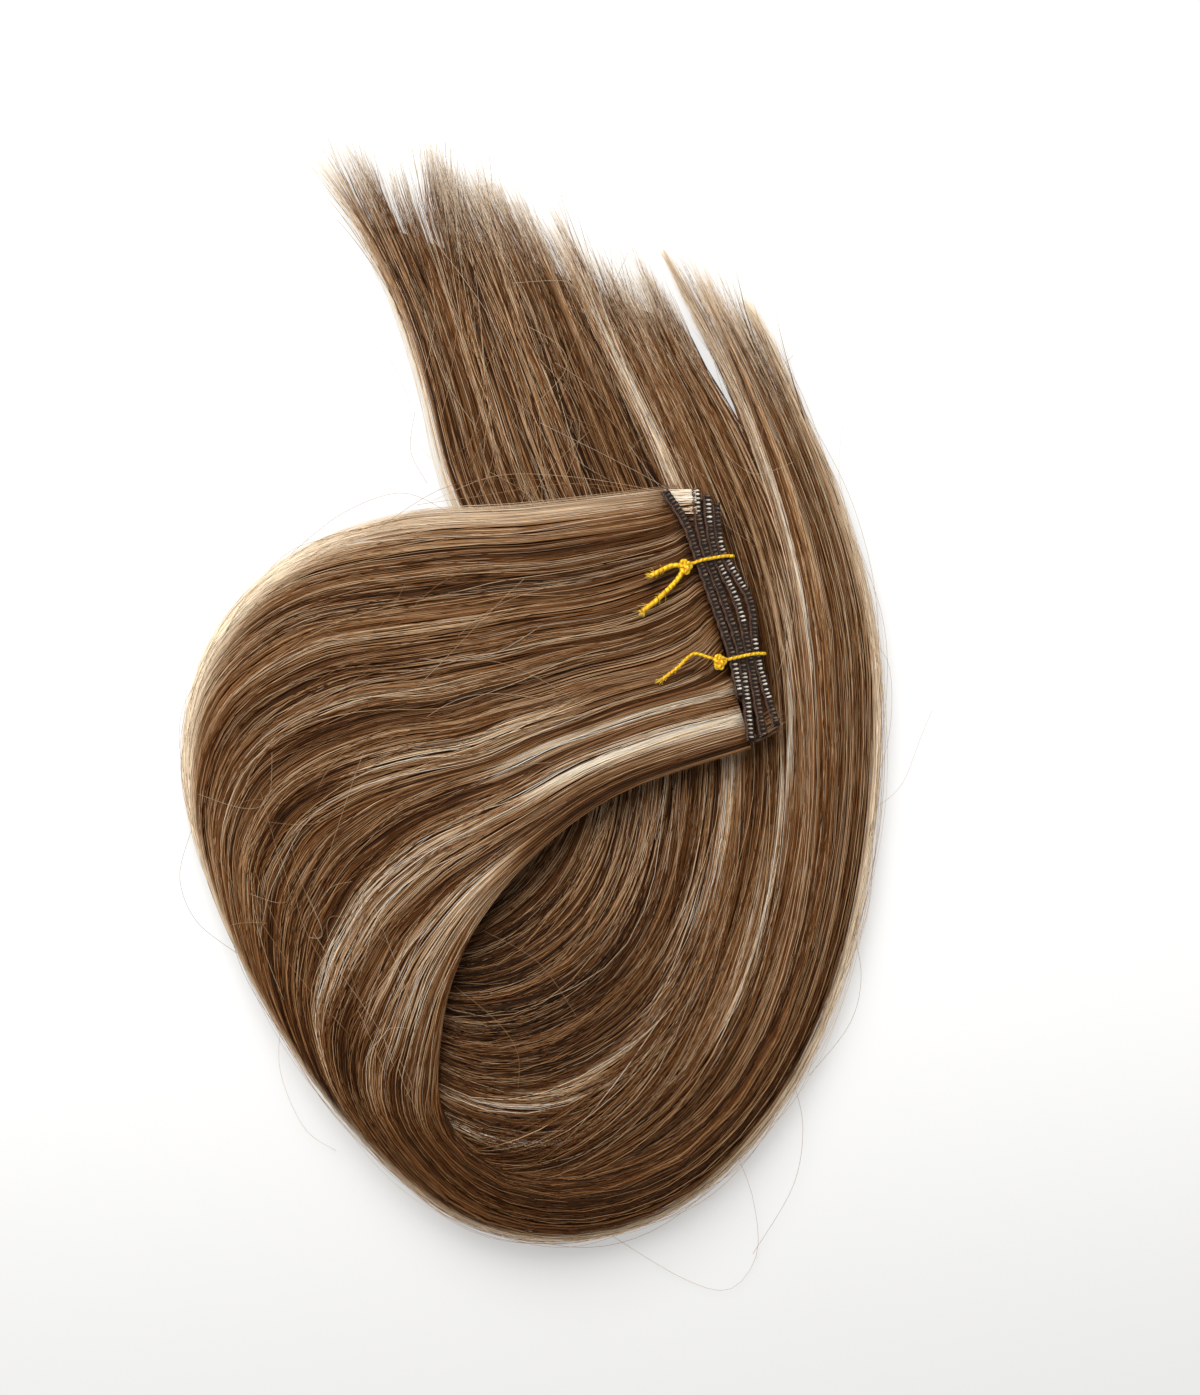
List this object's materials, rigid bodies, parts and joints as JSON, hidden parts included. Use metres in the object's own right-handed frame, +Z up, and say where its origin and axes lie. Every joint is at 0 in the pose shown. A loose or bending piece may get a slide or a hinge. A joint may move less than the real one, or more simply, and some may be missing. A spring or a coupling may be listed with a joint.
{
  "type": "hair weft",
  "caption": "Hair weft laid down in a loose loop: long brown and blonde hair sewn to a folded stitched track that knotted gold cords hold together.",
  "frame": {"origin": "middle of the footprint, on the surface that the hair lies on", "axes": "+Z up, away from that surface; +Y along the length of the laid loop, towards the hair tips; +X towards the folded track"},
  "size_m": [0.1769, 0.2752, 0.0213],
  "materials": {
    "hair": "straight glossy hair, mid brown with ash-blonde streaks and pale tips",
    "track_thread": "matt dark brown overlock stitching",
    "metallic_cord": "shiny gold metallised yarn"
  },
  "bodies": {
    "root": {"hair": "hair", "weft_track": "track_thread", "tie_upper": "metallic_cord", "tie_lower": "metallic_cord"}
  },
  "joints": []
}
